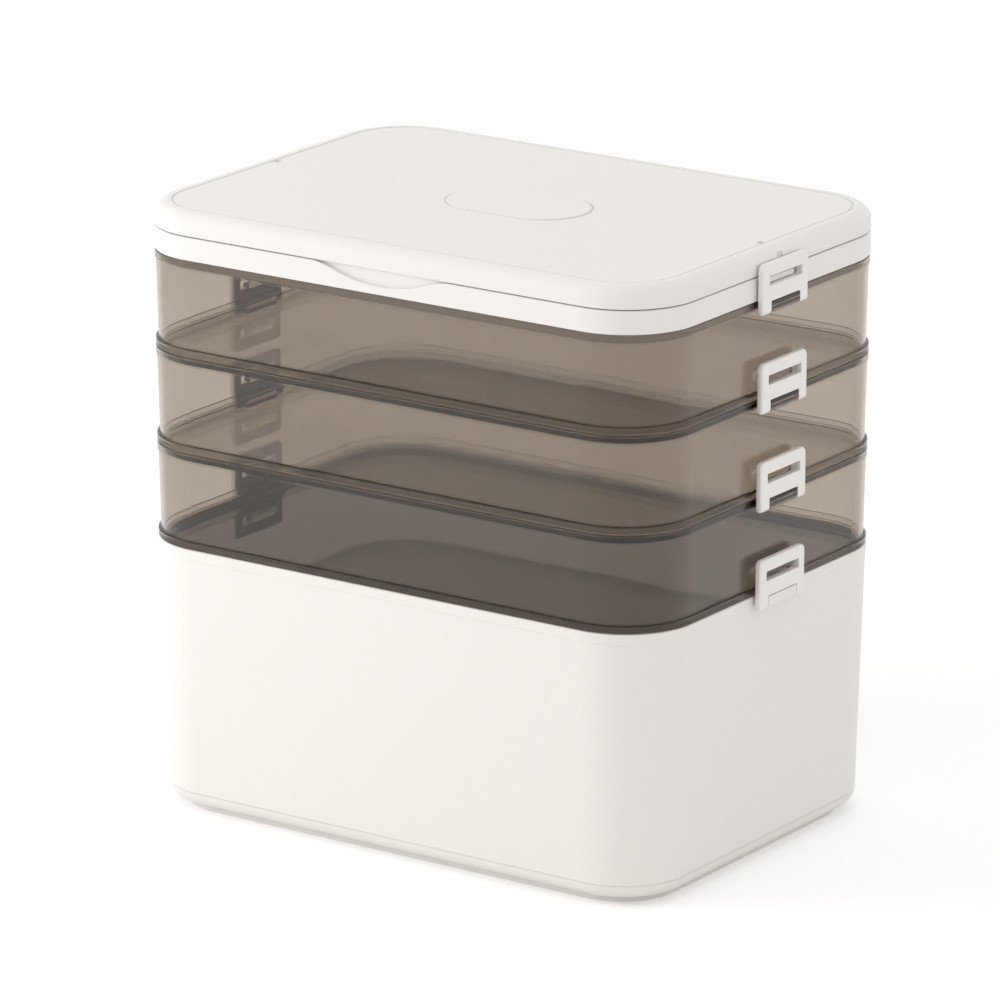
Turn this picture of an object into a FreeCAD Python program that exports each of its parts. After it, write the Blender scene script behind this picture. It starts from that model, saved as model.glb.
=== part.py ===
import FreeCAD, Part
import math
import os
import Sketcher

# Stacking supply box: a bin, three nesting trays, a frame with a flip-up cover, and side latches.
# Millimetres, +Z up, +X to the right, the front faces -Y, origin at the centre of the underside.

VECTOR = FreeCAD.Vector
ORIGIN_POINT = (-1, 1)
SMALL = 0.02

DIMENSIONS = {
    # Whole stack, seen from above
    "box_width": 340.0,
    "box_depth": 245.0,
    "box_corner": 42.0,
    "tray_pitch": 54.0,
    "edge_round": 0.8,
    "spare": 1.0,
    "sliver": 0.05,
    # Bin
    "base_height": 153.0,
    "base_band": 5.7,
    "base_band_step": 0.4,
    "base_draft": 4.0,
    "base_wall": 2.5,
    "base_floor": 3.0,
    "base_bottom_round": 8.5,
    "base_inside_round": 6.0,
    "foot_height": 4.0,
    "foot_inset": 13.5,
    "foot_ring": 6.0,
    "foot_corner": 33.5,
    # Trays
    "flange_height": 4.5,
    "band_height": 5.0,
    "tray_wall": 2.0,
    "tray_wall_step_top": 0.5,
    "tray_wall_step_bottom": 1.5,
    "nest_depth": 5.0,
    "nest_inset": 3.0,
    "tray_floor": 2.0,
    "tray_inside_round": 3.0,
    "tray_bottom_round": 1.2,
    # Latches, measured from the joint between two layers and from the box side
    "latch_span": 44.0,
    "latch_top": 20.5,
    "latch_leg": 8.0,
    "latch_gap": 1.5,
    "latch_thick": 4.0,
    "latch_corner": 3.5,
    "latch_edge": 1.4,
    "latch_slot_low": 8.4,
    "latch_slot_high": 13.7,
    "latch_slot_span": 32.0,
    "latch_leg_low": 7.0,
    "lug_clear": 0.5,
    "lug_radius": 2.0,
    "lug_top_gap": 0.6,
    "pin_radius": 1.2,
    "pin_play": 0.05,
    "pin_grip": 4.5,
    "pin_end_gap": 0.4,
    "catch_span": 24.0,
    "catch_low": 9.0,
    "catch_tall": 2.8,
    "catch_reach": 2.4,
    "catch_root": 2.7,
    # Lid frame
    "lid_overhang": 0.25,
    "frame_height": 12.9,
    "frame_wall": 5.25,
    "frame_plate": 2.5,
    "frame_ledge": 18.0,
    "beam_low": 2.5,
    "beam_span": 286.0,
    "scoop_half": 48.0,
    "scoop_drop": 8.4,
    "scoop_lead": 0.2,
    "scoop_blend": 50.0,
    "scoop_depth": 3.0,
    # Lid cover
    "seam_gap": 0.6,
    "cover_height": 12.3,
    "cover_overhang": 0.25,
    "cover_wall": 2.7,
    "cover_plate": 3.6,
    "shoulder_drop": 2.5,
    "shoulder_width": 5.5,
    "shoulder_blend": 8.0,
    "panel_inset": 9.5,
    "panel_depth": 0.15,
    "groove_width": 1.2,
    "groove_depth": 0.7,
    "oval_long": 84.0,
    "oval_wide": 52.0,
    "oval_rise": 0.6,
    "oval_edge": 0.5,
    "oval_right": 6.0,
    "oval_forward": 2.0,
    "moat_width": 1.2,
    "moat_depth": 0.9,
    "rib_clear": 1.5,
    "rib_wall": 2.0,
    "rib_drop": 3.5,
    "notch_width": 5.4,
    "notch_tall": 5.0,
    "notch_low": 4.8,
    "notch_depth": 1.2,
    "notch_middle": 2.3,
    "pocket_depth": 1.5,
    "pocket_over": 0.5,
    # Cover hinge at the back
    "barrel_radius": 4.25,
    "barrel_play": 0.35,
    "barrel_span": 254.0,
    "channel_span": 257.0,
    "hinge_ledge": 5.4,
    "ledge_span": 298.0,
    "ledge_room": 1.0,
    "knuckle_place": 95.0,
    "knuckle_span": 20.0,
    "knuckle_play": 0.5,
    "knuckle_notch": 5.6,
    "hinge_pin_radius": 1.5,
    "hinge_pin_reach": 10.0,
}

doc = FreeCAD.newDocument("supply_box")
sheet = doc.addObject("Spreadsheet::Sheet", "Dimensions")


def fill_sheet():
    """Write every driving dimension into the sheet under its own name."""
    for row, (name, value) in enumerate(DIMENSIONS.items(), start=1):
        sheet.set("A%d" % row, name)
        sheet.set("B%d" % row, repr(value))
        sheet.setAlias("B%d" % row, name)
    doc.recompute()


def cell(words):
    """Turn a formula in sheet names into an expression on the sheet."""
    out = []
    word = ""
    for letter in words + " ":
        if letter.isalnum() or letter == "_":
            word += letter
            continue
        out.append("Dimensions." + word if word in DIMENSIONS else word)
        out.append(letter)
        word = ""
    return "".join(out).strip()


def value_of(words):
    """Number that a formula in sheet names gives."""
    return float(sheet.evalExpression(cell(words)))


def new_body(label):
    """An empty body with its own label."""
    body = doc.addObject("PartDesign::Body", label)
    body.Label = label
    return body


def plane_of(body, role):
    """One of the body's own origin planes."""
    for feature in body.Origin.OriginFeatures:
        if feature.Role == role:
            return feature
    raise RuntimeError("no plane " + role)


def new_sketch(body, name, role, offset):
    """A sketch on an origin plane, lifted off it by a formula."""
    sketch = body.newObject("Sketcher::SketchObject", name)
    sketch.AttachmentSupport = [(plane_of(body, role), "")]
    sketch.MapMode = "FlatFace"
    sketch.setExpression(".AttachmentOffset.Base.z", cell(offset))
    doc.recompute()
    return sketch


def drive(sketch, constraint, words):
    """Add a dimension to a sketch and bind it to the sheet."""
    index = sketch.addConstraint(constraint)
    sketch.setExpression("Constraints[%d]" % index, cell(words))


def rounded_outline(sketch, width, depth, corner):
    """Rounded rectangle about the sketch's origin."""
    w = value_of(width) / 2
    d = value_of(depth) / 2
    r = value_of(corner)
    ends = [
        (VECTOR(-w + r, -d, 0), VECTOR(w - r, -d, 0)),
        (VECTOR(w, -d + r, 0), VECTOR(w, d - r, 0)),
        (VECTOR(w - r, d, 0), VECTOR(-w + r, d, 0)),
        (VECTOR(-w, d - r, 0), VECTOR(-w, -d + r, 0)),
    ]
    centres = [
        VECTOR(w - r, -d + r, 0),
        VECTOR(w - r, d - r, 0),
        VECTOR(-w + r, d - r, 0),
        VECTOR(-w + r, -d + r, 0),
    ]
    quarter = math.pi / 2
    first = sketch.GeometryCount
    for start, end in ends:
        sketch.addGeometry(Part.LineSegment(start, end), False)
    for turn, centre in enumerate(centres, start=-1):
        circle = Part.Circle(centre, VECTOR(0, 0, 1), r)
        sketch.addGeometry(Part.ArcOfCircle(circle, turn * quarter, (turn + 1) * quarter), False)
    for side in range(4):
        line = first + side
        arc = first + 4 + side
        following = first + (side + 1) % 4
        sketch.addConstraint(Sketcher.Constraint("Tangent", line, 2, arc, 1))
        sketch.addConstraint(Sketcher.Constraint("Tangent", arc, 2, following, 1))
    for side, rule in enumerate(("Horizontal", "Vertical", "Horizontal", "Vertical")):
        sketch.addConstraint(Sketcher.Constraint(rule, first + side))
    for side in range(3):
        sketch.addConstraint(Sketcher.Constraint("Equal", first + 4, first + 5 + side))
    sketch.addConstraint(Sketcher.Constraint("Symmetric", first + 4, 3, first + 6, 3, *ORIGIN_POINT))
    drive(sketch, Sketcher.Constraint("DistanceX", first + 3, 1, first + 1, 1, 2 * w), width)
    drive(sketch, Sketcher.Constraint("DistanceY", first, 1, first + 2, 1, 2 * d), depth)
    drive(sketch, Sketcher.Constraint("Radius", first + 4, r), corner)


def point_at(sketch, geometry, end, along, up):
    """Hold one end of a sketch line at a place given by two formulas."""
    for rule, words in (("DistanceX", along), ("DistanceY", up)):
        value = value_of(words)
        drive(sketch, Sketcher.Constraint(rule, *ORIGIN_POINT, geometry, end, value), words)


def polygon_outline(sketch, corners):
    """Closed outline through corners that are pairs of formulas."""
    places = [VECTOR(value_of(a), value_of(b), 0) for a, b in corners]
    first = sketch.GeometryCount
    count = len(places)
    for index in range(count):
        line = Part.LineSegment(places[index], places[(index + 1) % count])
        sketch.addGeometry(line, False)
    for index in range(count):
        following = first + (index + 1) % count
        sketch.addConstraint(Sketcher.Constraint("Coincident", first + index, 2, following, 1))
    for index, (along, up) in enumerate(corners):
        point_at(sketch, first + index, 1, along, up)


def circle_outline(sketch, along, up, radius):
    """Circle whose centre and radius are formulas."""
    centre = VECTOR(value_of(along), value_of(up), 0)
    index = sketch.addGeometry(Part.Circle(centre, VECTOR(0, 0, 1), value_of(radius)), False)
    point_at(sketch, index, 3, along, up)
    drive(sketch, Sketcher.Constraint("Radius", index, value_of(radius)), radius)


def pad(body, sketch, length, taper=None, both_ways=False, name="Pad"):
    """Grow the sketch along its normal."""
    feature = body.newObject("PartDesign::Pad", name)
    feature.Profile = sketch
    feature.setExpression("Length", cell(length))
    feature.SideType = "Symmetric" if both_ways else "One side"
    if taper:
        feature.setExpression("TaperAngle", cell(taper))
    doc.recompute()
    return feature


def pocket(body, sketch, length, taper=None, both_ways=False, forwards=True, name="Pocket"):
    """Cut the sketch along its normal, or against it, and make sure that it cuts."""
    before = body.Shape.Volume
    feature = body.newObject("PartDesign::Pocket", name)
    feature.Profile = sketch
    feature.setExpression("Length", cell(length))
    feature.SideType = "Symmetric" if both_ways else "One side"
    feature.Reversed = forwards
    if taper:
        feature.setExpression("TaperAngle", cell(taper))
    doc.recompute()
    if not body.Shape.Volume < before - SMALL:
        raise RuntimeError("%s of %s cuts nothing" % (feature.Name, body.Label))
    return feature


def slab(body, name, width, depth, corner, low, tall, taper=None):
    """Rounded rectangular slab, drafted if a taper is given."""
    sketch = new_sketch(body, name, "XY_Plane", low)
    rounded_outline(sketch, width, depth, corner)
    return pad(body, sketch, tall, taper)


def hollow(body, name, width, depth, corner, low, tall, taper=None):
    """Rounded rectangular hollow, drafted if a taper is given."""
    sketch = new_sketch(body, name, "XY_Plane", low)
    rounded_outline(sketch, width, depth, corner)
    return pocket(body, sketch, tall, taper)


def edges_where(shape, wanted):
    """Names of the edges whose middle passes a test."""
    names = []
    for index, edge in enumerate(shape.Edges, start=1):
        middle = edge.valueAt((edge.FirstParameter + edge.LastParameter) / 2)
        if wanted(edge, middle):
            names.append("Edge%d" % index)
    return names


def level_edges(body, level, only_outline=False):
    """Edges that lie at one level: all of them, or only those on the box outline."""
    def wanted(edge, middle):
        if edge.BoundBox.ZLength > SMALL or abs(middle.z - level) > SMALL:
            return False
        return abs(outline_inset(middle)) < SMALL or not only_outline
    return edges_where(body.Shape, wanted)


def outline_inset(place):
    """Distance from a point to the box outline, counted inwards."""
    w = value_of("box_width") / 2
    d = value_of("box_depth") / 2
    r = value_of("box_corner")
    x = abs(place.x) - (w - r)
    y = abs(place.y) - (d - r)
    if x > 0 and y > 0:
        return r - (x * x + y * y) ** 0.5
    return min(r - x, r - y)


def round_edges(body, names, radius, name="Fillet"):
    """Round the named edges of the body's tip."""
    if not names:
        raise RuntimeError("no edges to round on " + body.Label)
    tip = body.Tip
    feature = body.newObject("PartDesign::Fillet", name)
    feature.Base = (tip, names)
    feature.setExpression("Radius", cell(radius))
    doc.recompute()
    return feature


LUG_AXIS_OUT = "box_width / 2 + latch_gap + latch_thick / 2"
LUG_AXIS_DOWN = "(latch_leg_low - lug_radius)"
LUG_SPAN = "latch_span - 2 * latch_leg - 2 * lug_clear"


def add_lugs(body, joint_level):
    """Latch lugs on both short sides, bored for the latch pins, just under a joint level."""
    axis_up = "%s - %s" % (joint_level, LUG_AXIS_DOWN)
    low = "%s - lug_radius" % axis_up
    high = "%s - lug_top_gap" % joint_level
    block = new_sketch(body, "lug_blocks", "XZ_Plane", "0")
    nose = new_sketch(body, "lug_noses", "XZ_Plane", "0")
    bore = new_sketch(body, "lug_bores", "XZ_Plane", "0")
    for sign in ("", "-"):
        root = "%s(box_width / 2 - tray_wall / 2)" % sign
        axis = "%s(%s)" % (sign, LUG_AXIS_OUT)
        face = "%s(%s + lug_radius)" % (sign, LUG_AXIS_OUT)
        polygon_outline(block, [
            (root, low), (axis, low), (axis, axis_up), (face, axis_up), (face, high), (root, high),
        ])
        circle_outline(nose, axis, axis_up, "lug_radius")
        circle_outline(bore, axis, axis_up, "pin_radius")
    pad(body, block, LUG_SPAN, both_ways=True)
    pad(body, nose, LUG_SPAN, both_ways=True)
    pocket(body, bore, "latch_span", both_ways=True)


def add_catches(body, joint_level):
    """Catch bars on both short sides that the latch slots hook over."""
    for side, sign in (("right", ""), ("left", "-")):
        start = "%s(box_width / 2 - catch_root)" % sign
        sketch = new_sketch(body, "catch_" + side, "YZ_Plane", start)
        half = "catch_span / 2"
        low = "%s + catch_low" % joint_level
        high = "%s + catch_low + catch_tall" % joint_level
        polygon_outline(sketch, [("-" + half, low), (half, low), (half, high), ("-" + half, high)])
        bar = pad(body, sketch, "catch_root + catch_reach")
        bar.Reversed = side == "left"
        doc.recompute()
    tip_out = value_of("box_width / 2 + catch_reach")

    def is_end(edge, middle):
        upright = edge.BoundBox.ZLength < SMALL and edge.BoundBox.YLength < SMALL
        at_tip = abs(edge.BoundBox.XMax - tip_out) < SMALL or abs(edge.BoundBox.XMin + tip_out) < SMALL
        return upright and at_tip
    round_edges(body, edges_where(body.Shape, is_end), "catch_tall / 2 - sliver")


def make_base():
    """White bin with a foot ring, drafted walls, a rim band and latch lugs."""
    body = new_body("base_bin")
    drafted = "base_height - base_band - foot_height"
    shrink = "(2 * base_band_step + 2 * base_draft)"
    slab(body, "wall_outline", "box_width - " + shrink, "box_depth - " + shrink,
         "box_corner - base_draft - base_band_step", "foot_height", drafted,
         "atan(base_draft / (%s))" % drafted)
    round_edges(body, level_edges(body, value_of("foot_height")), "base_bottom_round")
    slab(body, "band_outline", "box_width", "box_depth", "box_corner",
         "base_height - base_band", "base_band")
    inside = "(2 * base_wall + 2 * base_draft)"
    deep = "base_height - foot_height - base_floor"
    hollow(body, "inside_outline", "box_width - " + inside, "box_depth - " + inside,
           "box_corner - base_wall - base_draft", "foot_height + base_floor", deep,
           "atan(base_draft / (%s))" % deep)
    floor_level = value_of("foot_height + base_floor")
    round_edges(body, level_edges(body, floor_level), "base_inside_round")
    slab(body, "foot_outline", "box_width - 2 * foot_inset", "box_depth - 2 * foot_inset",
         "foot_corner", "0", "foot_height")
    hollow(body, "foot_hollow", "box_width - 2 * foot_inset - 2 * foot_ring",
           "box_depth - 2 * foot_inset - 2 * foot_ring", "foot_corner - foot_ring",
           "0", "foot_height")
    top = value_of("base_height")
    round_edges(body, level_edges(body, value_of("base_height - base_band"), True), "base_band_step - sliver")
    round_edges(body, level_edges(body, top, True), "edge_round")
    add_lugs(body, "base_height")
    return body


def make_tray(label, level):
    """See-through tray: nesting foot, flange, drafted wall, rim band, catches and lugs."""
    body = new_body(label)
    wall_tall = "tray_pitch - flange_height - band_height"
    slab(body, "nest_outline", "box_width - 2 * nest_inset", "box_depth - 2 * nest_inset",
         "box_corner - nest_inset", "-nest_depth", "nest_depth")
    round_edges(body, level_edges(body, -value_of("nest_depth")), "tray_bottom_round")
    slab(body, "flange_outline", "box_width", "box_depth", "box_corner", "0", "flange_height")
    slab(body, "wall_outline", "box_width - 2 * tray_wall_step_bottom",
         "box_depth - 2 * tray_wall_step_bottom", "box_corner - tray_wall_step_bottom",
         "flange_height", wall_tall,
         "atan((tray_wall_step_bottom - tray_wall_step_top) / (%s))" % wall_tall)
    slab(body, "band_outline", "box_width", "box_depth", "box_corner",
         "tray_pitch - band_height", "band_height")
    round_edges(body, level_edges(body, 0.0, True), "edge_round")
    round_edges(body, level_edges(body, value_of("flange_height"), True), "edge_round")
    round_edges(body, level_edges(body, value_of("tray_pitch - band_height"), True), "edge_round / 2")
    round_edges(body, level_edges(body, value_of("tray_pitch"), True), "edge_round")
    inside = "(2 * nest_inset + 2 * tray_wall)"
    deep = "nest_depth - tray_floor"
    hollow(body, "well_outline", "box_width - " + inside, "box_depth - " + inside,
           "box_corner - nest_inset - tray_wall", "tray_floor - nest_depth", deep + " + tray_wall")
    floor_level = value_of("tray_floor - nest_depth")
    opening = "(2 * tray_wall_step_bottom + 2 * tray_wall)"
    hollow(body, "inside_outline", "box_width - " + opening, "box_depth - " + opening,
           "box_corner - tray_wall_step_bottom - tray_wall", "tray_wall", "tray_pitch - tray_wall",
           "atan((tray_wall_step_bottom - tray_wall_step_top) / (tray_pitch - tray_wall))")
    round_edges(body, level_edges(body, floor_level), "tray_inside_round / 2")
    add_catches(body, "0")
    add_lugs(body, "tray_pitch")
    body.setExpression(".Placement.Base.z", cell(level))
    doc.recompute()
    return body


HINGE_BACK = "(box_depth / 2 + lid_overhang - barrel_radius)"


def hinge_profile(sketch, radius, centre_up):
    """Circle about the cover's hinge line, in a sketch that faces along X."""
    circle_outline(sketch, HINGE_BACK, centre_up, radius)


def knuckle_sketch(body, name, place, reach):
    """Sketch facing +X at one end of a stretch of the hinge line."""
    return new_sketch(body, name, "YZ_Plane", "%s - (%s) / 2" % (place, reach))


def make_frame():
    """White lid frame: nests in the upper tray and carries the cover's knuckles and the finger scoop."""
    body = new_body("lid_frame")
    wide = "box_width + 2 * lid_overhang"
    long = "box_depth + 2 * lid_overhang"
    corner = "box_corner + lid_overhang"
    slab(body, "frame_outline", wide, long, corner, "0", "frame_height")
    round_edges(body, level_edges(body, 0.0), "edge_round")
    round_edges(body, level_edges(body, value_of("frame_height")), "edge_round")
    slab(body, "nest_outline", "box_width - 2 * nest_inset", "box_depth - 2 * nest_inset",
         "box_corner - nest_inset", "-nest_depth", "nest_depth")
    round_edges(body, level_edges(body, -value_of("nest_depth")), "tray_bottom_round")
    under = "2 * frame_wall"
    hollow(body, "underside", "%s - %s" % (wide, under), "%s - %s" % (long, under),
           "%s - frame_wall" % corner, "-nest_depth", "nest_depth + frame_height - frame_plate")
    add_rear_beam(body)
    ledge = "2 * frame_ledge"
    hollow(body, "opening", "%s - %s" % (wide, ledge), "%s - %s" % (long, ledge),
           "%s - frame_ledge" % corner, "-nest_depth", "nest_depth + frame_height")
    cut_hinge_channel(body)
    add_frame_knuckles(body)
    cut_scoop(body)
    add_catches(body, "0")
    body.setExpression(".Placement.Base.z", cell("base_height + 3 * tray_pitch"))
    doc.recompute()
    return body


def add_rear_beam(body):
    """Beam under the frame's back edge, which carries the hinge line."""
    sketch = new_sketch(body, "rear_beam", "YZ_Plane", "0")
    front = "(box_depth / 2 + lid_overhang - frame_ledge - spare)"
    back = "(box_depth / 2 + lid_overhang - frame_wall + spare)"
    high = "frame_height - frame_plate / 2"
    polygon_outline(sketch, [(front, "beam_low"), (back, "beam_low"), (back, high), (front, high)])
    pad(body, sketch, "beam_span", both_ways=True)


def cut_hinge_channel(body):
    """Round channel and ledge along the back edge, where the cover's barrel turns."""
    channel = new_sketch(body, "hinge_channel", "YZ_Plane", "0")
    hinge_profile(channel, "barrel_radius + barrel_play", "frame_height")
    pocket(body, channel, "channel_span", both_ways=True)
    ledge = new_sketch(body, "hinge_ledge", "YZ_Plane", "0")
    front = HINGE_BACK + " - ledge_room"
    back = "box_depth / 2 + lid_overhang + spare"
    low = "frame_height - hinge_ledge"
    high = "frame_height + spare"
    polygon_outline(ledge, [(front, low), (back, low), (back, high), (front, high)])
    pocket(body, ledge, "ledge_span", both_ways=True)


def add_frame_knuckles(body):
    """Two knuckles that stand in the channel and hold the hinge pins."""
    front = HINGE_BACK + " - barrel_radius"
    back = HINGE_BACK + " + barrel_radius"
    low = "frame_height - hinge_ledge - spare"
    for side, place in (("right", "knuckle_place"), ("left", "-knuckle_place")):
        post = knuckle_sketch(body, "knuckle_post_" + side, place, "knuckle_span")
        polygon_outline(post, [(front, low), (back, low), (back, "frame_height"), (front, "frame_height")])
        pad(body, post, "knuckle_span")
        head = knuckle_sketch(body, "knuckle_head_" + side, place, "knuckle_span")
        hinge_profile(head, "barrel_radius", "frame_height")
        pad(body, head, "knuckle_span")
        bore = knuckle_sketch(body, "knuckle_bore_" + side, place, "knuckle_span")
        hinge_profile(bore, "hinge_pin_radius", "frame_height")
        pocket(body, bore, "knuckle_span")


def cut_scoop(body):
    """Finger scoop in the middle of the frame's front face: a hollow arc that blends into the top edge."""
    sketch = new_sketch(body, "finger_scoop", "XZ_Plane", "box_depth / 2 + lid_overhang + spare")
    start = "frame_height + scoop_lead"
    deep = "(scoop_drop + scoop_lead)"
    both_radii = "(scoop_half * scoop_half + %s * %s) / (2 * %s)" % (deep, deep, deep)
    half = value_of("scoop_half")
    blend = value_of("scoop_blend")
    hollow_radius = value_of(both_radii) - blend
    turn = 2 * math.atan(value_of(deep) / half)
    up = math.pi / 2
    level = value_of(start)
    top = value_of("frame_height + spare")

    def arc(along, height, radius, first, last):
        circle = Part.Circle(VECTOR(along, height, 0), VECTOR(0, 0, 1), radius)
        return sketch.addGeometry(Part.ArcOfCircle(circle, first, last), False)
    left = arc(-half, level - blend, blend, up - turn, up)
    middle = arc(0, level - value_of(deep) + hollow_radius, hollow_radius, -up - turn, -up + turn)
    right = arc(half, level - blend, blend, up, up + turn)
    lip = [VECTOR(half, level, 0), VECTOR(half, top, 0), VECTOR(-half, top, 0), VECTOR(-half, level, 0)]
    rise, across, fall = [
        sketch.addGeometry(Part.LineSegment(*ends), False) for ends in zip(lip, lip[1:])
    ]
    sketch.addConstraint(Sketcher.Constraint("Tangent", left, 1, middle, 1))
    sketch.addConstraint(Sketcher.Constraint("Tangent", middle, 2, right, 2))
    sketch.addConstraint(Sketcher.Constraint("Coincident", right, 1, rise, 1))
    sketch.addConstraint(Sketcher.Constraint("Coincident", rise, 2, across, 1))
    sketch.addConstraint(Sketcher.Constraint("Coincident", across, 2, fall, 1))
    sketch.addConstraint(Sketcher.Constraint("Coincident", fall, 2, left, 2))
    point_at(sketch, rise, 1, "scoop_half", start)
    point_at(sketch, across, 1, "scoop_half", "frame_height + spare")
    point_at(sketch, fall, 1, "-scoop_half", "frame_height + spare")
    point_at(sketch, fall, 2, "-scoop_half", start)
    point_at(sketch, left, 3, "-scoop_half", start + " - scoop_blend")
    point_at(sketch, right, 3, "scoop_half", start + " - scoop_blend")
    words = both_radii + " - scoop_blend"
    drive(sketch, Sketcher.Constraint("Radius", middle, hollow_radius), words)
    pocket(body, sketch, "scoop_depth + spare", forwards=False)


def make_cover():
    """White flip-up cover: shouldered top, inset panel with an oval pad, locating rib and barrel."""
    body = new_body("lid_cover")
    wide = "box_width + 2 * cover_overhang"
    long = "box_depth + 2 * cover_overhang"
    corner = "box_corner + cover_overhang"
    slab(body, "cover_outline", wide, long, corner, "0", "cover_height")
    tip = body.Tip
    shoulder = body.newObject("PartDesign::Chamfer", "shoulder")
    shoulder.Base = (tip, level_edges(body, value_of("cover_height")))
    shoulder.ChamferType = "Two distances"
    shoulder.setExpression("Size", cell("shoulder_width"))
    shoulder.setExpression("Size2", cell("shoulder_drop"))
    doc.recompute()
    top_edges = level_edges(body, value_of("cover_height"))
    round_edges(body, top_edges, "shoulder_blend")
    round_edges(body, level_edges(body, 0.0), "edge_round")
    panel = "2 * panel_inset"
    hollow(body, "panel_outline", "%s - %s" % (wide, panel), "%s - %s" % (long, panel),
           "%s - panel_inset" % corner, "cover_height - panel_depth", "panel_depth + spare")
    cut_groove(body, wide, long, corner)
    add_oval(body)
    walls = "2 * cover_wall"
    hollow(body, "underside", "%s - %s" % (wide, walls), "%s - %s" % (long, walls),
           "%s - cover_wall" % corner, "0", "cover_height - cover_plate")
    add_rib(body)
    add_barrel(body)
    cut_notches(body)
    body.setExpression(".Placement.Base.z", cell("base_height + 3 * tray_pitch + frame_height + seam_gap"))
    doc.recompute()
    return body


def cut_groove(body, wide, long, corner):
    """Thin groove round the inset panel."""
    sketch = new_sketch(body, "panel_groove", "XY_Plane", "cover_height - panel_depth - groove_depth")
    for inset in ("panel_inset", "panel_inset + groove_width"):
        rounded_outline(sketch, "%s - 2 * (%s)" % (wide, inset), "%s - 2 * (%s)" % (long, inset),
                        "%s - (%s)" % (corner, inset))
    pocket(body, sketch, "groove_depth + sliver")


def oval_sketch(body, name, level):
    """Sketch above the panel, centred on the oval pad."""
    sketch = new_sketch(body, name, "XY_Plane", level)
    sketch.setExpression(".AttachmentOffset.Base.x", cell("oval_right"))
    sketch.setExpression(".AttachmentOffset.Base.y", cell("-oval_forward"))
    return sketch


def add_oval(body):
    """Low oval pad near the middle of the panel, in a narrow moat."""
    panel = "cover_height - panel_depth"
    moat = oval_sketch(body, "moat_outline", panel + " - moat_depth")
    for grow in ("0", "2 * moat_width"):
        rounded_outline(moat, "oval_long + " + grow, "oval_wide + " + grow,
                        "(oval_wide + %s) / 2 - sliver" % grow)
    pocket(body, moat, "moat_depth + spare")
    pad_outline = oval_sketch(body, "oval_outline", panel + " - moat_depth")
    rounded_outline(pad_outline, "oval_long", "oval_wide", "oval_wide / 2 - sliver")
    pad(body, pad_outline, "moat_depth + oval_rise")
    round_edges(body, level_edges(body, value_of(panel + " + oval_rise")), "oval_edge")


def add_rib(body):
    """Locating rib that drops into the frame's opening."""
    inset = "(frame_ledge + rib_clear)"
    wide = "box_width + 2 * lid_overhang - 2 * %s" % inset
    long = "box_depth + 2 * lid_overhang - 2 * %s" % inset
    corner = "box_corner + lid_overhang - %s" % inset
    sketch = new_sketch(body, "locating_rib", "XY_Plane", "-rib_drop")
    rounded_outline(sketch, wide, long, corner)
    rounded_outline(sketch, wide + " - 2 * rib_wall", long + " - 2 * rib_wall", corner + " - rib_wall")
    pad(body, sketch, "rib_drop + cover_height - cover_plate + sliver")


def add_barrel(body):
    """Rolled barrel along the back edge, gapped for the frame's knuckles and bored for the pins."""
    axis_up = "-seam_gap"
    barrel = new_sketch(body, "barrel", "YZ_Plane", "0")
    hinge_profile(barrel, "barrel_radius", axis_up)
    pad(body, barrel, "barrel_span", both_ways=True)
    gap_span = "knuckle_span + 2 * knuckle_play"
    front = HINGE_BACK + " - barrel_radius - barrel_play"
    back = HINGE_BACK + " + barrel_radius + spare"
    low = "-barrel_radius - spare"
    for side, place in (("right", "knuckle_place"), ("left", "-knuckle_place")):
        gap = knuckle_sketch(body, "knuckle_gap_" + side, place, gap_span)
        high = "knuckle_notch"
        polygon_outline(gap, [(front, low), (back, low), (back, high), (front, high)])
        pocket(body, gap, gap_span)
        reach = "knuckle_span + 2 * (hinge_pin_reach + pin_end_gap)"
        bore = knuckle_sketch(body, "pin_bore_" + side, place, reach)
        hinge_profile(bore, "hinge_pin_radius + pin_play", axis_up)
        pocket(body, bore, reach)


def cut_notches(body):
    """Small slot in each short side and a pocket beside it at the panel's edge."""
    for side, sign in (("right", ""), ("left", "-")):
        outer = "%s(box_width / 2 + cover_overhang + spare)" % sign
        slot = new_sketch(body, "side_slot_" + side, "YZ_Plane", outer)
        near = "notch_middle - notch_width / 2"
        far = "notch_middle + notch_width / 2"
        high = "notch_low + notch_tall"
        polygon_outline(slot, [(near, "notch_low"), (far, "notch_low"), (far, high), (near, high)])
        pocket(body, slot, "notch_depth + spare", forwards=side == "left")
        hole = new_sketch(body, "panel_pocket_" + side, "XY_Plane", "cover_height - panel_depth - pocket_depth")
        inner = "%s(box_width / 2 + cover_overhang - panel_inset - notch_tall)" % sign
        rim = "%s(box_width / 2 + cover_overhang - panel_inset + pocket_over)" % sign
        polygon_outline(hole, [(inner, near), (rim, near), (rim, far), (inner, far)])
        pocket(body, hole, "pocket_depth + panel_depth + spare")


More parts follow.
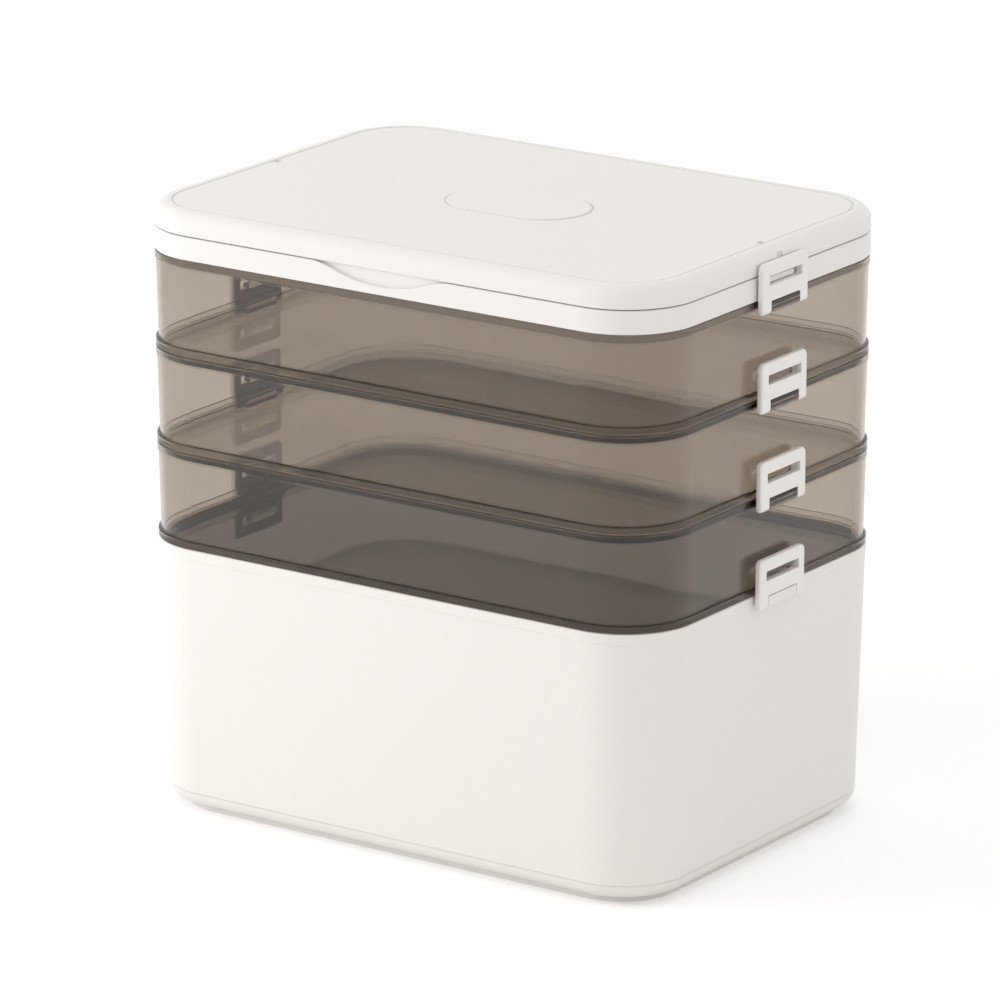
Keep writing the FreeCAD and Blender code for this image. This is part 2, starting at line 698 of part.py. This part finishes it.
def make_latch(label, joint_level, side):
    """A-shaped latch: crossbar, slot for the catch and two legs with sockets for the pin."""
    body = new_body(label)
    plate = new_sketch(body, "latch_outline", "YZ_Plane", "box_width / 2 + latch_gap")
    half = "latch_span / 2"
    step = "(latch_span / 2 - latch_leg)"
    low = "-latch_leg_low"
    polygon_outline(plate, [
        ("-" + half, low), ("-" + step, low), ("-" + step, "0"), (step, "0"), (step, low),
        (half, low), (half, "latch_top"), ("-" + half, "latch_top"),
    ])
    pad(body, plate, "latch_thick")
    slot = new_sketch(body, "latch_slot", "YZ_Plane", "box_width / 2 + latch_gap")
    reach = "latch_slot_span / 2"
    polygon_outline(slot, [
        ("-" + reach, "latch_slot_low"), (reach, "latch_slot_low"),
        (reach, "latch_slot_high"), ("-" + reach, "latch_slot_high"),
    ])
    pocket(body, slot, "latch_thick")
    round_latch(body)
    add_sockets(body)
    if side == "left":
        body.Placement.Rotation = FreeCAD.Rotation(VECTOR(0, 0, 1), 180)
    body.setExpression(".Placement.Base.z", cell(joint_level))
    doc.recompute()
    return body


def round_latch(body):
    """Round the latch's top corners, leg ends and all the way round its outline."""
    top = value_of("latch_top")
    half = value_of("latch_span / 2")
    low = -value_of("latch_leg_low")

    def is_top_corner(edge, middle):
        return abs(middle.z - top) < SMALL and abs(abs(middle.y) - half) < SMALL
    round_edges(body, edges_where(body.Shape, is_top_corner), "latch_corner")

    def is_leg_end(edge, middle):
        return edge.BoundBox.YLength > 1 and abs(middle.z - low) < SMALL
    round_edges(body, edges_where(body.Shape, is_leg_end), "lug_radius - sliver")

    def is_side(edge, middle):
        return edge.BoundBox.YLength < SMALL and abs(middle.y) > half - SMALL
    round_edges(body, edges_where(body.Shape, is_side), "latch_edge")


def add_sockets(body):
    """Blind sockets in the legs' inner faces for the pin's ends."""
    step = "(latch_span / 2 - latch_leg)"
    for side, start, forwards in (("back", "-" + step, True), ("front", step, False)):
        sketch = new_sketch(body, "socket_" + side, "XZ_Plane", start)
        circle_outline(sketch, LUG_AXIS_OUT, "-" + LUG_AXIS_DOWN, "pin_radius + pin_play")
        pocket(body, sketch, "pin_grip + pin_end_gap", forwards=not forwards)


def make_pin(label, radius, span, place, turn):
    """Round pin along Y or X, through its middle."""
    body = new_body(label)
    role = "YZ_Plane" if turn == "along_x" else "XZ_Plane"
    sketch = new_sketch(body, "pin_section", role, "0")
    circle_outline(sketch, "0", "0", radius)
    pad(body, sketch, span, both_ways=True)
    for axis, words in zip("xyz", place):
        body.setExpression(".Placement.Base." + axis, cell(words))
    doc.recompute()
    return body


LAYERS = (
    ("base", "base_height"),
    ("lower", "base_height + tray_pitch"),
    ("middle", "base_height + 2 * tray_pitch"),
    ("upper", "base_height + 3 * tray_pitch"),
)


def make_latches():
    """One latch and one pin on each short side of each layer."""
    made = []
    span = LUG_SPAN + " + 2 * lug_clear + 2 * pin_grip"
    for layer, level in LAYERS:
        for side, sign in (("right", ""), ("left", "-")):
            made.append(make_latch("latch_%s_%s" % (layer, side), level, side))
            place = ("%s(%s)" % (sign, LUG_AXIS_OUT), "0", "%s - %s" % (level, LUG_AXIS_DOWN))
            made.append(make_pin("latch_pin_%s_%s" % (layer, side), "pin_radius", span, place, "along_y"))
    return made


def make_cover_pins():
    """Two pins on the cover's hinge line."""
    made = []
    span = "knuckle_span + 2 * hinge_pin_reach"
    level = "base_height + 3 * tray_pitch + frame_height"
    for side, sign in (("right", ""), ("left", "-")):
        place = (sign + "knuckle_place", HINGE_BACK, level)
        made.append(make_pin("cover_pin_" + side, "hinge_pin_radius", span, place, "along_x"))
    return made


def check_and_write(pieces):
    """Stop on any failed object, then write one file for each piece."""
    doc.recompute()
    for item in doc.Objects:
        if "Invalid" in item.State or "Error" in item.State:
            raise RuntimeError("failed object: %s of %s" % (item.Name, item.Label))
    os.makedirs("parts", exist_ok=True)
    for piece in pieces:
        shape = piece.Shape
        if shape.isNull() or not shape.isValid() or len(shape.Solids) != 1:
            raise RuntimeError("bad shape: %s, %d solids" % (piece.Label, len(shape.Solids)))
        shape.exportStep("parts/%s.step" % piece.Label)
        box = shape.BoundBox
        print("%-22s volume %9.0f  z %.2f to %.2f" % (piece.Label, shape.Volume, box.ZMin, box.ZMax))


def main():
    """Build the whole box."""
    fill_sheet()
    pieces = [make_base()]
    for label, (layer, level) in zip(("tray_lower", "tray_middle", "tray_upper"), LAYERS):
        pieces.append(make_tray(label, level))
    pieces.append(make_frame())
    pieces.append(make_cover())
    pieces.extend(make_latches())
    pieces.extend(make_cover_pins())
    check_and_write(pieces)


main()
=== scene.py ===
"""Looks of the stacking supply box: finishes of its white shells, smoke trays and pins, and its studio."""
import math

import bpy
import numpy as np
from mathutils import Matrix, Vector

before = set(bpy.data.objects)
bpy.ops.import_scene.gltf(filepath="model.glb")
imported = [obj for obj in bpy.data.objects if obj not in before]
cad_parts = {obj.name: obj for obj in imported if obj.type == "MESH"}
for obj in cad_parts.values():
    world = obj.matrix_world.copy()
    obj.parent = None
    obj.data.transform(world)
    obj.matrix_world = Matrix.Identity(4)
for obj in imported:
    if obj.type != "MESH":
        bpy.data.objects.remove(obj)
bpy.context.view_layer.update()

bl_info = {
    "name": "Stacking Supply Box",
    "version": (1, 0, 0),
    "blender": (4, 5, 0),
    "location": "View3D > Sidebar > Supply Box",
    "description": "Finishes and studio for a stacking supply box with smoke trays",
    "category": "Object",
}

LAYERS = ("base", "lower", "middle", "upper")
SIDES = ("right", "left")
TRAYS = ("tray_lower", "tray_middle", "tray_upper")

# Strength and depth in metres of the reliefs, refraction of the plastics, and the reach of the stage
SHELL_BUMP = 0.25
LATCH_BUMP = 0.15
LATCH_SMOOTHER = 0.05
GRAIN_HEIGHT = 0.00004
LINE_DEPTH = 0.0003
RIPPLE_HEIGHT = 0.0004
WHITE_IOR = 1.46
SMOKE_IOR = 1.45
FLOOR_REACH = 6.0
SENSOR_WIDTH = 36.0
FAR_CLIP = 50.0


class BoxFinish(bpy.types.PropertyGroup):
    """Colours and gloss of the box's plastics."""

    shell_colour: bpy.props.FloatVectorProperty(
        name="Shell", description="White of the bin", subtype="COLOR", size=3,
        default=(0.857, 0.828, 0.794), min=0.0, max=1.0)
    lid_colour: bpy.props.FloatVectorProperty(
        name="Lid", description="White of the lid frame and cover", subtype="COLOR", size=3,
        default=(0.855, 0.838, 0.815), min=0.0, max=1.0)
    latch_colour: bpy.props.FloatVectorProperty(
        name="Latch", description="White of the latches", subtype="COLOR", size=3,
        default=(0.87, 0.855, 0.835), min=0.0, max=1.0)
    smoke_colour: bpy.props.FloatVectorProperty(
        name="Smoke", description="Tint of the see-through trays", subtype="COLOR", size=3,
        default=(0.74, 0.70, 0.66), min=0.0, max=1.0)
    rim_colour: bpy.props.FloatVectorProperty(
        name="Smoke rims", description="Tint of the trays' thick rims and flanges", subtype="COLOR", size=3,
        default=(0.68, 0.63, 0.58), min=0.0, max=1.0)
    soak_colour: bpy.props.FloatVectorProperty(
        name="Smoke depth", description="Colour that long paths through the trays tend to", subtype="COLOR",
        size=3, default=(0.46, 0.36, 0.25), min=0.0, max=1.0)
    soak_density: bpy.props.FloatProperty(
        name="Smoke density", description="Light soaked up per metre of smoke plastic",
        default=150.0, min=0.0)
    steel_colour: bpy.props.FloatVectorProperty(
        name="Pins", description="Bare metal of the hinge pins", subtype="COLOR", size=3,
        default=(0.55, 0.55, 0.54), min=0.0, max=1.0)
    parting_level: bpy.props.FloatProperty(
        name="Parting line", description="Height of the fine line round the foot of the bin",
        subtype="DISTANCE", unit="LENGTH", default=0.0122)
    shell_roughness: bpy.props.FloatProperty(
        name="Shell roughness", description="Satin of the moulded whites", subtype="FACTOR",
        default=0.42, min=0.0, max=1.0)


class BoxStudio(bpy.types.PropertyGroup):
    """Camera and light of the studio."""

    azimuth: bpy.props.FloatProperty(
        name="Azimuth", description="Camera angle round the box from the front", subtype="ANGLE",
        unit="ROTATION", default=math.radians(34.725))
    elevation: bpy.props.FloatProperty(
        name="Elevation", description="Camera angle above the horizon", subtype="ANGLE",
        unit="ROTATION", default=math.radians(16.46))
    distance: bpy.props.FloatProperty(
        name="Distance", description="From the aim to the camera", subtype="DISTANCE",
        unit="LENGTH", default=3.981)
    lens: bpy.props.FloatProperty(
        name="Lens", description="Focal length for a sensor 36 mm wide", default=262.95)
    aim_side: bpy.props.FloatProperty(
        name="Aim sideways", description="How far right of the origin the camera aims", subtype="DISTANCE",
        unit="LENGTH", default=-0.00637)
    aim_height: bpy.props.FloatProperty(
        name="Aim height", description="Height that the camera aims at", subtype="DISTANCE",
        unit="LENGTH", default=0.17307)
    world_strength: bpy.props.FloatProperty(
        name="Ambient", description="Strength of the even light from all round", default=0.88, min=0.0)
    floor_lift: bpy.props.FloatProperty(
        name="Floor lift", description="Added white of the floor where it is seen, mirrored or seen through",
        default=0.24, min=0.0)
    key_power: bpy.props.FloatProperty(
        name="Key", description="Power of the soft light at the front left", subtype="POWER",
        unit="POWER", default=6.0, min=0.0)
    top_power: bpy.props.FloatProperty(
        name="Top", description="Power of the soft light overhead", subtype="POWER",
        unit="POWER", default=0.5, min=0.0)


def finish_of():
    """The colours and gloss in use."""
    return bpy.context.scene.box_finish


def studio_of():
    """The camera and light values in use."""
    return bpy.context.scene.box_studio


def new_group(name, inputs, outputs):
    """An empty shader node group with float inputs and outputs of the given kinds."""
    group = bpy.data.node_groups.new(name, "ShaderNodeTree")
    for label, value in inputs:
        socket = group.interface.new_socket(name=label, in_out="INPUT", socket_type="NodeSocketFloat")
        socket.default_value = value
    for label, kind in outputs:
        group.interface.new_socket(name=label, in_out="OUTPUT", socket_type=kind)
    nodes = group.nodes
    return group, nodes.new("NodeGroupInput"), nodes.new("NodeGroupOutput")


def add_node(tree, kind, **values):
    """A node with its plain settings and its unlinked inputs set."""
    node = tree.nodes.new(kind)
    for name, value in values.items():
        if hasattr(node, name):
            setattr(node, name, value)
        else:
            node.inputs[name.replace("_", " ").title()].default_value = value
    return node


def moulded_grain():
    """Group: fine moulded grain as a height, and a slow cloud as a wave, a gloss shift and a faint shade."""
    if "moulded_grain" in bpy.data.node_groups:
        return bpy.data.node_groups["moulded_grain"]
    group, source, result = new_group(
        "moulded_grain",
        (("Grain Scale", 1800.0), ("Cloud Scale", 9.0)),
        (("Height", "NodeSocketFloat"), ("Gloss Shift", "NodeSocketFloat"), ("Shade", "NodeSocketFloat"),
         ("Wave", "NodeSocketFloat")))
    links = group.links
    place = group.nodes.new("ShaderNodeTexCoord")
    grain = add_node(group, "ShaderNodeTexNoise", detail=3.0)
    cloud = add_node(group, "ShaderNodeTexNoise", detail=4.0)
    for noise, label in ((grain, "Grain Scale"), (cloud, "Cloud Scale")):
        links.new(place.outputs["Object"], noise.inputs["Vector"])
        links.new(source.outputs[label], noise.inputs["Scale"])
    gloss = add_node(group, "ShaderNodeMapRange")
    gloss.inputs["To Min"].default_value = -0.04
    gloss.inputs["To Max"].default_value = 0.04
    shade = add_node(group, "ShaderNodeMapRange")
    shade.inputs["To Min"].default_value = 0.985
    shade.inputs["To Max"].default_value = 1.0
    links.new(cloud.outputs["Fac"], gloss.inputs["Value"])
    links.new(cloud.outputs["Fac"], shade.inputs["Value"])
    links.new(grain.outputs["Fac"], result.inputs["Height"])
    links.new(gloss.outputs["Result"], result.inputs["Gloss Shift"])
    links.new(shade.outputs["Result"], result.inputs["Shade"])
    links.new(cloud.outputs["Fac"], result.inputs["Wave"])
    return group


def parting_line():
    """Group: height of a shell with one fine groove round it, smooth(|z - level| / half the width)."""
    if "parting_line" in bpy.data.node_groups:
        return bpy.data.node_groups["parting_line"]
    group, source, result = new_group(
        "parting_line",
        (("Level", 0.0122), ("Half Width", 0.0005)),
        (("Height", "NodeSocketFloat"),))
    links = group.links
    place = group.nodes.new("ShaderNodeTexCoord")
    split = group.nodes.new("ShaderNodeSeparateXYZ")
    links.new(place.outputs["Object"], split.inputs[0])
    above = add_node(group, "ShaderNodeMath", operation="SUBTRACT")
    links.new(split.outputs["Z"], above.inputs[0])
    links.new(source.outputs["Level"], above.inputs[1])
    away = add_node(group, "ShaderNodeMath", operation="ABSOLUTE")
    links.new(above.outputs[0], away.inputs[0])
    wall = add_node(group, "ShaderNodeMapRange", interpolation_type="SMOOTHSTEP")
    links.new(away.outputs[0], wall.inputs["Value"])
    links.new(source.outputs["Half Width"], wall.inputs["From Max"])
    links.new(wall.outputs["Result"], result.inputs["Height"])
    return group


def new_material(name):
    """A material whose tree holds only its Principled shader and output."""
    material = bpy.data.materials.new(name)
    material.use_nodes = True
    return material, material.node_tree, material.node_tree.nodes["Principled BSDF"]


def moulded_white(name, colour, roughness, bump, line_level=None):
    """Satin white plastic: grain in the bump, a faint cloud in colour and gloss, a parting line if asked."""
    material, tree, shader = new_material(name)
    links = tree.links
    grain = tree.nodes.new("ShaderNodeGroup")
    grain.node_tree = moulded_grain()
    tint = add_node(tree, "ShaderNodeMix", data_type="RGBA", blend_type="MULTIPLY")
    tint.inputs["Factor"].default_value = 1.0
    tint.inputs[6].default_value = (*colour, 1.0)
    links.new(grain.outputs["Shade"], tint.inputs[7])
    links.new(tint.outputs[2], shader.inputs["Base Color"])
    gloss = add_node(tree, "ShaderNodeMath", operation="ADD")
    gloss.inputs[1].default_value = roughness
    links.new(grain.outputs["Gloss Shift"], gloss.inputs[0])
    links.new(gloss.outputs[0], shader.inputs["Roughness"])
    relief = tree.nodes.new("ShaderNodeBump")
    relief.inputs["Strength"].default_value = bump
    relief.inputs["Distance"].default_value = GRAIN_HEIGHT
    links.new(grain.outputs["Height"], relief.inputs["Height"])
    links.new(relief.outputs["Normal"], shader.inputs["Normal"])
    if line_level:
        line = tree.nodes.new("ShaderNodeGroup")
        line.node_tree = parting_line()
        line.inputs["Level"].default_value = line_level
        cut = tree.nodes.new("ShaderNodeBump")
        cut.inputs["Distance"].default_value = LINE_DEPTH
        links.new(line.outputs["Height"], cut.inputs["Height"])
        links.new(cut.outputs["Normal"], relief.inputs["Normal"])
    shader.inputs["IOR"].default_value = WHITE_IOR
    return material


def joint_bands():
    """Group: 1 in the thick plastic, where |z - nearest joint| < half a band or |x| is outside the walls."""
    if "joint_bands" in bpy.data.node_groups:
        return bpy.data.node_groups["joint_bands"]
    group, source, result = new_group(
        "joint_bands",
        (("First Joint", 0.153), ("Half Pitch", 0.027), ("Half Band", 0.005), ("Wall Face", 0.1702)),
        (("Band", "NodeSocketFloat"),))
    links = group.links
    place = group.nodes.new("ShaderNodeTexCoord")
    split = group.nodes.new("ShaderNodeSeparateXYZ")
    links.new(place.outputs["Object"], split.inputs[0])
    above = add_node(group, "ShaderNodeMath", operation="SUBTRACT")
    links.new(split.outputs["Z"], above.inputs[0])
    links.new(source.outputs["First Joint"], above.inputs[1])
    away = add_node(group, "ShaderNodeMath", operation="PINGPONG")
    links.new(above.outputs[0], away.inputs[0])
    links.new(source.outputs["Half Pitch"], away.inputs[1])
    share = add_node(group, "ShaderNodeMath", operation="DIVIDE")
    links.new(away.outputs[0], share.inputs[0])
    links.new(source.outputs["Half Band"], share.inputs[1])
    edge = add_node(group, "ShaderNodeMapRange", interpolation_type="SMOOTHSTEP")
    edge.inputs["From Min"].default_value = 0.9
    edge.inputs["From Max"].default_value = 1.1
    edge.inputs["To Min"].default_value = 1.0
    edge.inputs["To Max"].default_value = 0.0
    links.new(share.outputs[0], edge.inputs["Value"])
    sideways = add_node(group, "ShaderNodeMath", operation="ABSOLUTE")
    links.new(split.outputs["X"], sideways.inputs[0])
    outside = add_node(group, "ShaderNodeMath", operation="GREATER_THAN")
    links.new(sideways.outputs[0], outside.inputs[0])
    links.new(source.outputs["Wall Face"], outside.inputs[1])
    thick = add_node(group, "ShaderNodeMath", operation="MAXIMUM")
    links.new(edge.outputs["Result"], thick.inputs[0])
    links.new(outside.outputs[0], thick.inputs[1])
    links.new(thick.outputs[0], result.inputs["Band"])
    return group


def smoke_plastic(name, colour, rim_colour, soak_colour, soak_density):
    """Smoke-tinted see-through plastic: polished, faintly rippled, darker in rims, edge-on and with depth."""
    material, tree, shader = new_material(name)
    links = tree.links
    grain = tree.nodes.new("ShaderNodeGroup")
    grain.node_tree = moulded_grain()
    grain.inputs["Cloud Scale"].default_value = 14.0
    bands = tree.nodes.new("ShaderNodeGroup")
    bands.node_tree = joint_bands()
    facing = add_node(tree, "ShaderNodeLayerWeight")
    along = add_node(tree, "ShaderNodeMapRange", interpolation_type="SMOOTHSTEP")
    along.inputs["From Min"].default_value = 0.55
    along.inputs["From Max"].default_value = 0.98
    links.new(facing.outputs["Facing"], along.inputs["Value"])
    thick = add_node(tree, "ShaderNodeMath", operation="MAXIMUM")
    links.new(bands.outputs["Band"], thick.inputs[0])
    links.new(along.outputs["Result"], thick.inputs[1])
    depth = add_node(tree, "ShaderNodeMix", data_type="RGBA")
    depth.inputs[6].default_value = (*colour, 1.0)
    depth.inputs[7].default_value = (*rim_colour, 1.0)
    links.new(thick.outputs[0], depth.inputs[0])
    tint = add_node(tree, "ShaderNodeMix", data_type="RGBA", blend_type="MULTIPLY")
    tint.inputs["Factor"].default_value = 1.0
    links.new(depth.outputs[2], tint.inputs[6])
    links.new(grain.outputs["Shade"], tint.inputs[7])
    links.new(tint.outputs[2], shader.inputs["Base Color"])
    ripple = tree.nodes.new("ShaderNodeBump")
    ripple.inputs["Strength"].default_value = 0.2
    ripple.inputs["Distance"].default_value = RIPPLE_HEIGHT
    links.new(grain.outputs["Wave"], ripple.inputs["Height"])
    links.new(ripple.outputs["Normal"], shader.inputs["Normal"])
    shader.inputs["Roughness"].default_value = 0.0
    shader.inputs["Transmission Weight"].default_value = 1.0
    shader.inputs["IOR"].default_value = SMOKE_IOR
    soak = tree.nodes.new("ShaderNodeVolumeAbsorption")
    soak.inputs["Color"].default_value = (*soak_colour, 1.0)
    soak.inputs["Density"].default_value = soak_density
    links.new(soak.outputs[0], tree.nodes["Material Output"].inputs["Volume"])
    return material


def pin_steel(name, colour):
    """Drawn wire: bare metal with fine streaks."""
    material, tree, shader = new_material(name)
    links = tree.links
    place = tree.nodes.new("ShaderNodeTexCoord")
    streak = add_node(tree, "ShaderNodeTexNoise", detail=4.0)
    streak.inputs["Scale"].default_value = 900.0
    links.new(place.outputs["Object"], streak.inputs["Vector"])
    gloss = add_node(tree, "ShaderNodeMapRange")
    gloss.inputs["To Min"].default_value = 0.25
    gloss.inputs["To Max"].default_value = 0.45
    links.new(streak.outputs["Fac"], gloss.inputs["Value"])
    links.new(gloss.outputs["Result"], shader.inputs["Roughness"])
    shader.inputs["Base Color"].default_value = (*colour, 1.0)
    shader.inputs["Metallic"].default_value = 1.0
    return material


def paint(nodes, material):
    """Give CAD nodes their finish."""
    for name in nodes:
        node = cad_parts[name]
        node.data.materials.clear()
        node.data.materials.append(material)


class BOX_OT_bin(bpy.types.Operator):
    """Finish the white bin."""

    bl_idname = "supply_box.bin"
    bl_label = "Bin"

    def execute(self, context):
        finish = finish_of()
        white = moulded_white("white_shell", finish.shell_colour, finish.shell_roughness, SHELL_BUMP,
                              finish.parting_level)
        paint(["base_bin"], white)
        return {"FINISHED"}


class BOX_OT_trays(bpy.types.Operator):
    """Finish the three smoke trays."""

    bl_idname = "supply_box.trays"
    bl_label = "Trays"

    def execute(self, context):
        finish = finish_of()
        smoke = smoke_plastic("smoke_tray", finish.smoke_colour, finish.rim_colour,
                              finish.soak_colour, finish.soak_density)
        paint(TRAYS, smoke)
        return {"FINISHED"}


class BOX_OT_lid(bpy.types.Operator):
    """Finish the lid frame and its cover."""

    bl_idname = "supply_box.lid"
    bl_label = "Lid"

    def execute(self, context):
        finish = finish_of()
        white = moulded_white("white_lid", finish.lid_colour, finish.shell_roughness, SHELL_BUMP)
        paint(["lid_frame", "lid_cover"], white)
        return {"FINISHED"}


class BOX_OT_latches(bpy.types.Operator):
    """Finish the latches."""

    bl_idname = "supply_box.latches"
    bl_label = "Latches"

    def execute(self, context):
        finish = finish_of()
        roughness = finish.shell_roughness - LATCH_SMOOTHER
        white = moulded_white("white_latch", finish.latch_colour, roughness, LATCH_BUMP)
        paint(["latch_%s_%s" % (layer, side) for layer in LAYERS for side in SIDES], white)
        return {"FINISHED"}


class BOX_OT_pins(bpy.types.Operator):
    """Finish the hinge pins."""

    bl_idname = "supply_box.pins"
    bl_label = "Pins"

    def execute(self, context):
        steel = pin_steel("pin_steel", finish_of().steel_colour)
        names = ["latch_pin_%s_%s" % (layer, side) for layer in LAYERS for side in SIDES]
        names += ["cover_pin_" + side for side in SIDES]
        paint(names, steel)
        return {"FINISHED"}


class BOX_OT_studio(bpy.types.Operator):
    """Set the floor, the white surround, the soft lights and the camera."""

    bl_idname = "supply_box.studio"
    bl_label = "Studio"

    def execute(self, context):
        make_floor()
        make_world()
        make_lights()
        make_camera()
        context.scene.view_settings.view_transform = "Standard"
        return {"FINISHED"}


def seen_directly(tree):
    """Socket that is 1 for a ray from the camera, a mirror reflection or a see-through wall, else 0."""
    path = tree.nodes.new("ShaderNodeLightPath")
    either = add_node(tree, "ShaderNodeMath", operation="MAXIMUM")
    any_of = add_node(tree, "ShaderNodeMath", operation="MAXIMUM")
    tree.links.new(path.outputs["Is Camera Ray"], either.inputs[0])
    tree.links.new(path.outputs["Is Glossy Ray"], either.inputs[1])
    tree.links.new(either.outputs[0], any_of.inputs[0])
    tree.links.new(path.outputs["Is Transmission Ray"], any_of.inputs[1])
    return any_of.outputs[0]


def make_floor():
    """Pale floor: one wide flat face that is white to the camera and keeps a faint shadow."""
    corners = FLOOR_REACH * np.array([(-1.0, -1.0, 0.0), (1.0, -1.0, 0.0), (1.0, 1.0, 0.0), (-1.0, 1.0, 0.0)])
    mesh = bpy.data.meshes.new("floor")
    mesh.from_pydata(corners.tolist(), [], [(0, 1, 2, 3)])
    floor = bpy.data.objects.new("floor", mesh)
    bpy.context.collection.objects.link(floor)
    material, tree, shader = new_material("pale_floor")
    shader.inputs["Base Color"].default_value = (0.9, 0.9, 0.9, 1.0)
    shader.inputs["Roughness"].default_value = 0.9
    seen = seen_directly(tree)
    lift = add_node(tree, "ShaderNodeMath", operation="MULTIPLY")
    lift.inputs[1].default_value = studio_of().floor_lift
    tree.links.new(seen, lift.inputs[0])
    shader.inputs["Emission Color"].default_value = (1.0, 1.0, 1.0, 1.0)
    tree.links.new(lift.outputs[0], shader.inputs["Emission Strength"])
    mesh.materials.append(material)


def make_world():
    """Even light, and plain white where the camera, a reflection or a see-through wall looks out."""
    studio = studio_of()
    world = bpy.data.worlds.new("studio_white")
    bpy.context.scene.world = world
    world.use_nodes = True
    tree = world.node_tree
    links = tree.links
    tree.nodes.clear()
    seen = seen_directly(tree)
    ambient = tree.nodes.new("ShaderNodeBackground")
    ambient.inputs["Color"].default_value = (1.0, 0.985, 0.97, 1.0)
    ambient.inputs["Strength"].default_value = studio.world_strength
    white = tree.nodes.new("ShaderNodeBackground")
    white.inputs["Color"].default_value = (1.0, 1.0, 1.0, 1.0)
    mix = tree.nodes.new("ShaderNodeMixShader")
    links.new(seen, mix.inputs[0])
    links.new(ambient.outputs[0], mix.inputs[1])
    links.new(white.outputs[0], mix.inputs[2])
    output = tree.nodes.new("ShaderNodeOutputWorld")
    links.new(mix.outputs[0], output.inputs["Surface"])


def aim(thing, place, target):
    """Put a light or camera at a place, facing a target."""
    thing.location = place
    thing.rotation_euler = (Vector(target) - Vector(place)).to_track_quat("-Z", "Y").to_euler()


def make_lights():
    """A soft key at the front left and a soft top light, which the trays' walls don't mirror."""
    studio = studio_of()
    middle = (0.0, 0.0, 0.17)
    for name, power, size, place in (
            ("key_light", studio.key_power, 0.65, (-1.0, -0.85, 0.62)),
            ("top_light", studio.top_power, 1.4, (0.2, 0.2, 2.2))):
        data = bpy.data.lights.new(name, "AREA")
        data.energy = power
        data.size = size
        light = bpy.data.objects.new(name, data)
        light.visible_glossy = False
        light.visible_transmission = False
        bpy.context.collection.objects.link(light)
        aim(light, place, middle)


def make_camera():
    """Camera on a sphere about its aim: back = (sin a cos e, -cos a cos e, sin e)."""
    studio = studio_of()
    turn = studio.azimuth
    lift = studio.elevation
    back = Vector((math.sin(turn) * math.cos(lift), -math.cos(turn) * math.cos(lift), math.sin(lift)))
    right = Vector((math.cos(turn), math.sin(turn), 0.0))
    target = right * studio.aim_side + Vector((0.0, 0.0, studio.aim_height))
    data = bpy.data.cameras.new("camera")
    data.sensor_width = SENSOR_WIDTH
    data.lens = studio.lens
    data.clip_end = FAR_CLIP
    camera = bpy.data.objects.new("camera", data)
    bpy.context.collection.objects.link(camera)
    aim(camera, target + back * studio.distance, target)
    bpy.context.scene.camera = camera


class BOX_PT_panel(bpy.types.Panel):
    """Lists the finishes and the studio in the sidebar."""

    bl_idname = "BOX_PT_panel"
    bl_label = "Supply Box"
    bl_space_type = "VIEW_3D"
    bl_region_type = "UI"
    bl_category = "Supply Box"

    def draw(self, context):
        layout = self.layout
        for group in (context.scene.box_finish, context.scene.box_studio):
            for name in group.__annotations__:
                layout.prop(group, name)
        for operator in OPERATORS:
            layout.operator(operator.bl_idname)


OPERATORS = (BOX_OT_bin, BOX_OT_trays, BOX_OT_lid, BOX_OT_latches, BOX_OT_pins, BOX_OT_studio)
CLASSES = (BoxFinish, BoxStudio, *OPERATORS, BOX_PT_panel)


def register():
    """Register the classes and hang their values on the scene."""
    for cls in CLASSES:
        bpy.utils.register_class(cls)
    bpy.types.Scene.box_finish = bpy.props.PointerProperty(type=BoxFinish)
    bpy.types.Scene.box_studio = bpy.props.PointerProperty(type=BoxStudio)


def unregister():
    """Take the values and classes away again."""
    del bpy.types.Scene.box_studio
    del bpy.types.Scene.box_finish
    for cls in reversed(CLASSES):
        bpy.utils.unregister_class(cls)


def main():
    """Run every operator in order."""
    register()
    bpy.ops.supply_box.bin()
    bpy.ops.supply_box.trays()
    bpy.ops.supply_box.lid()
    bpy.ops.supply_box.latches()
    bpy.ops.supply_box.pins()
    bpy.ops.supply_box.studio()


if __name__ == "__main__":
    main()
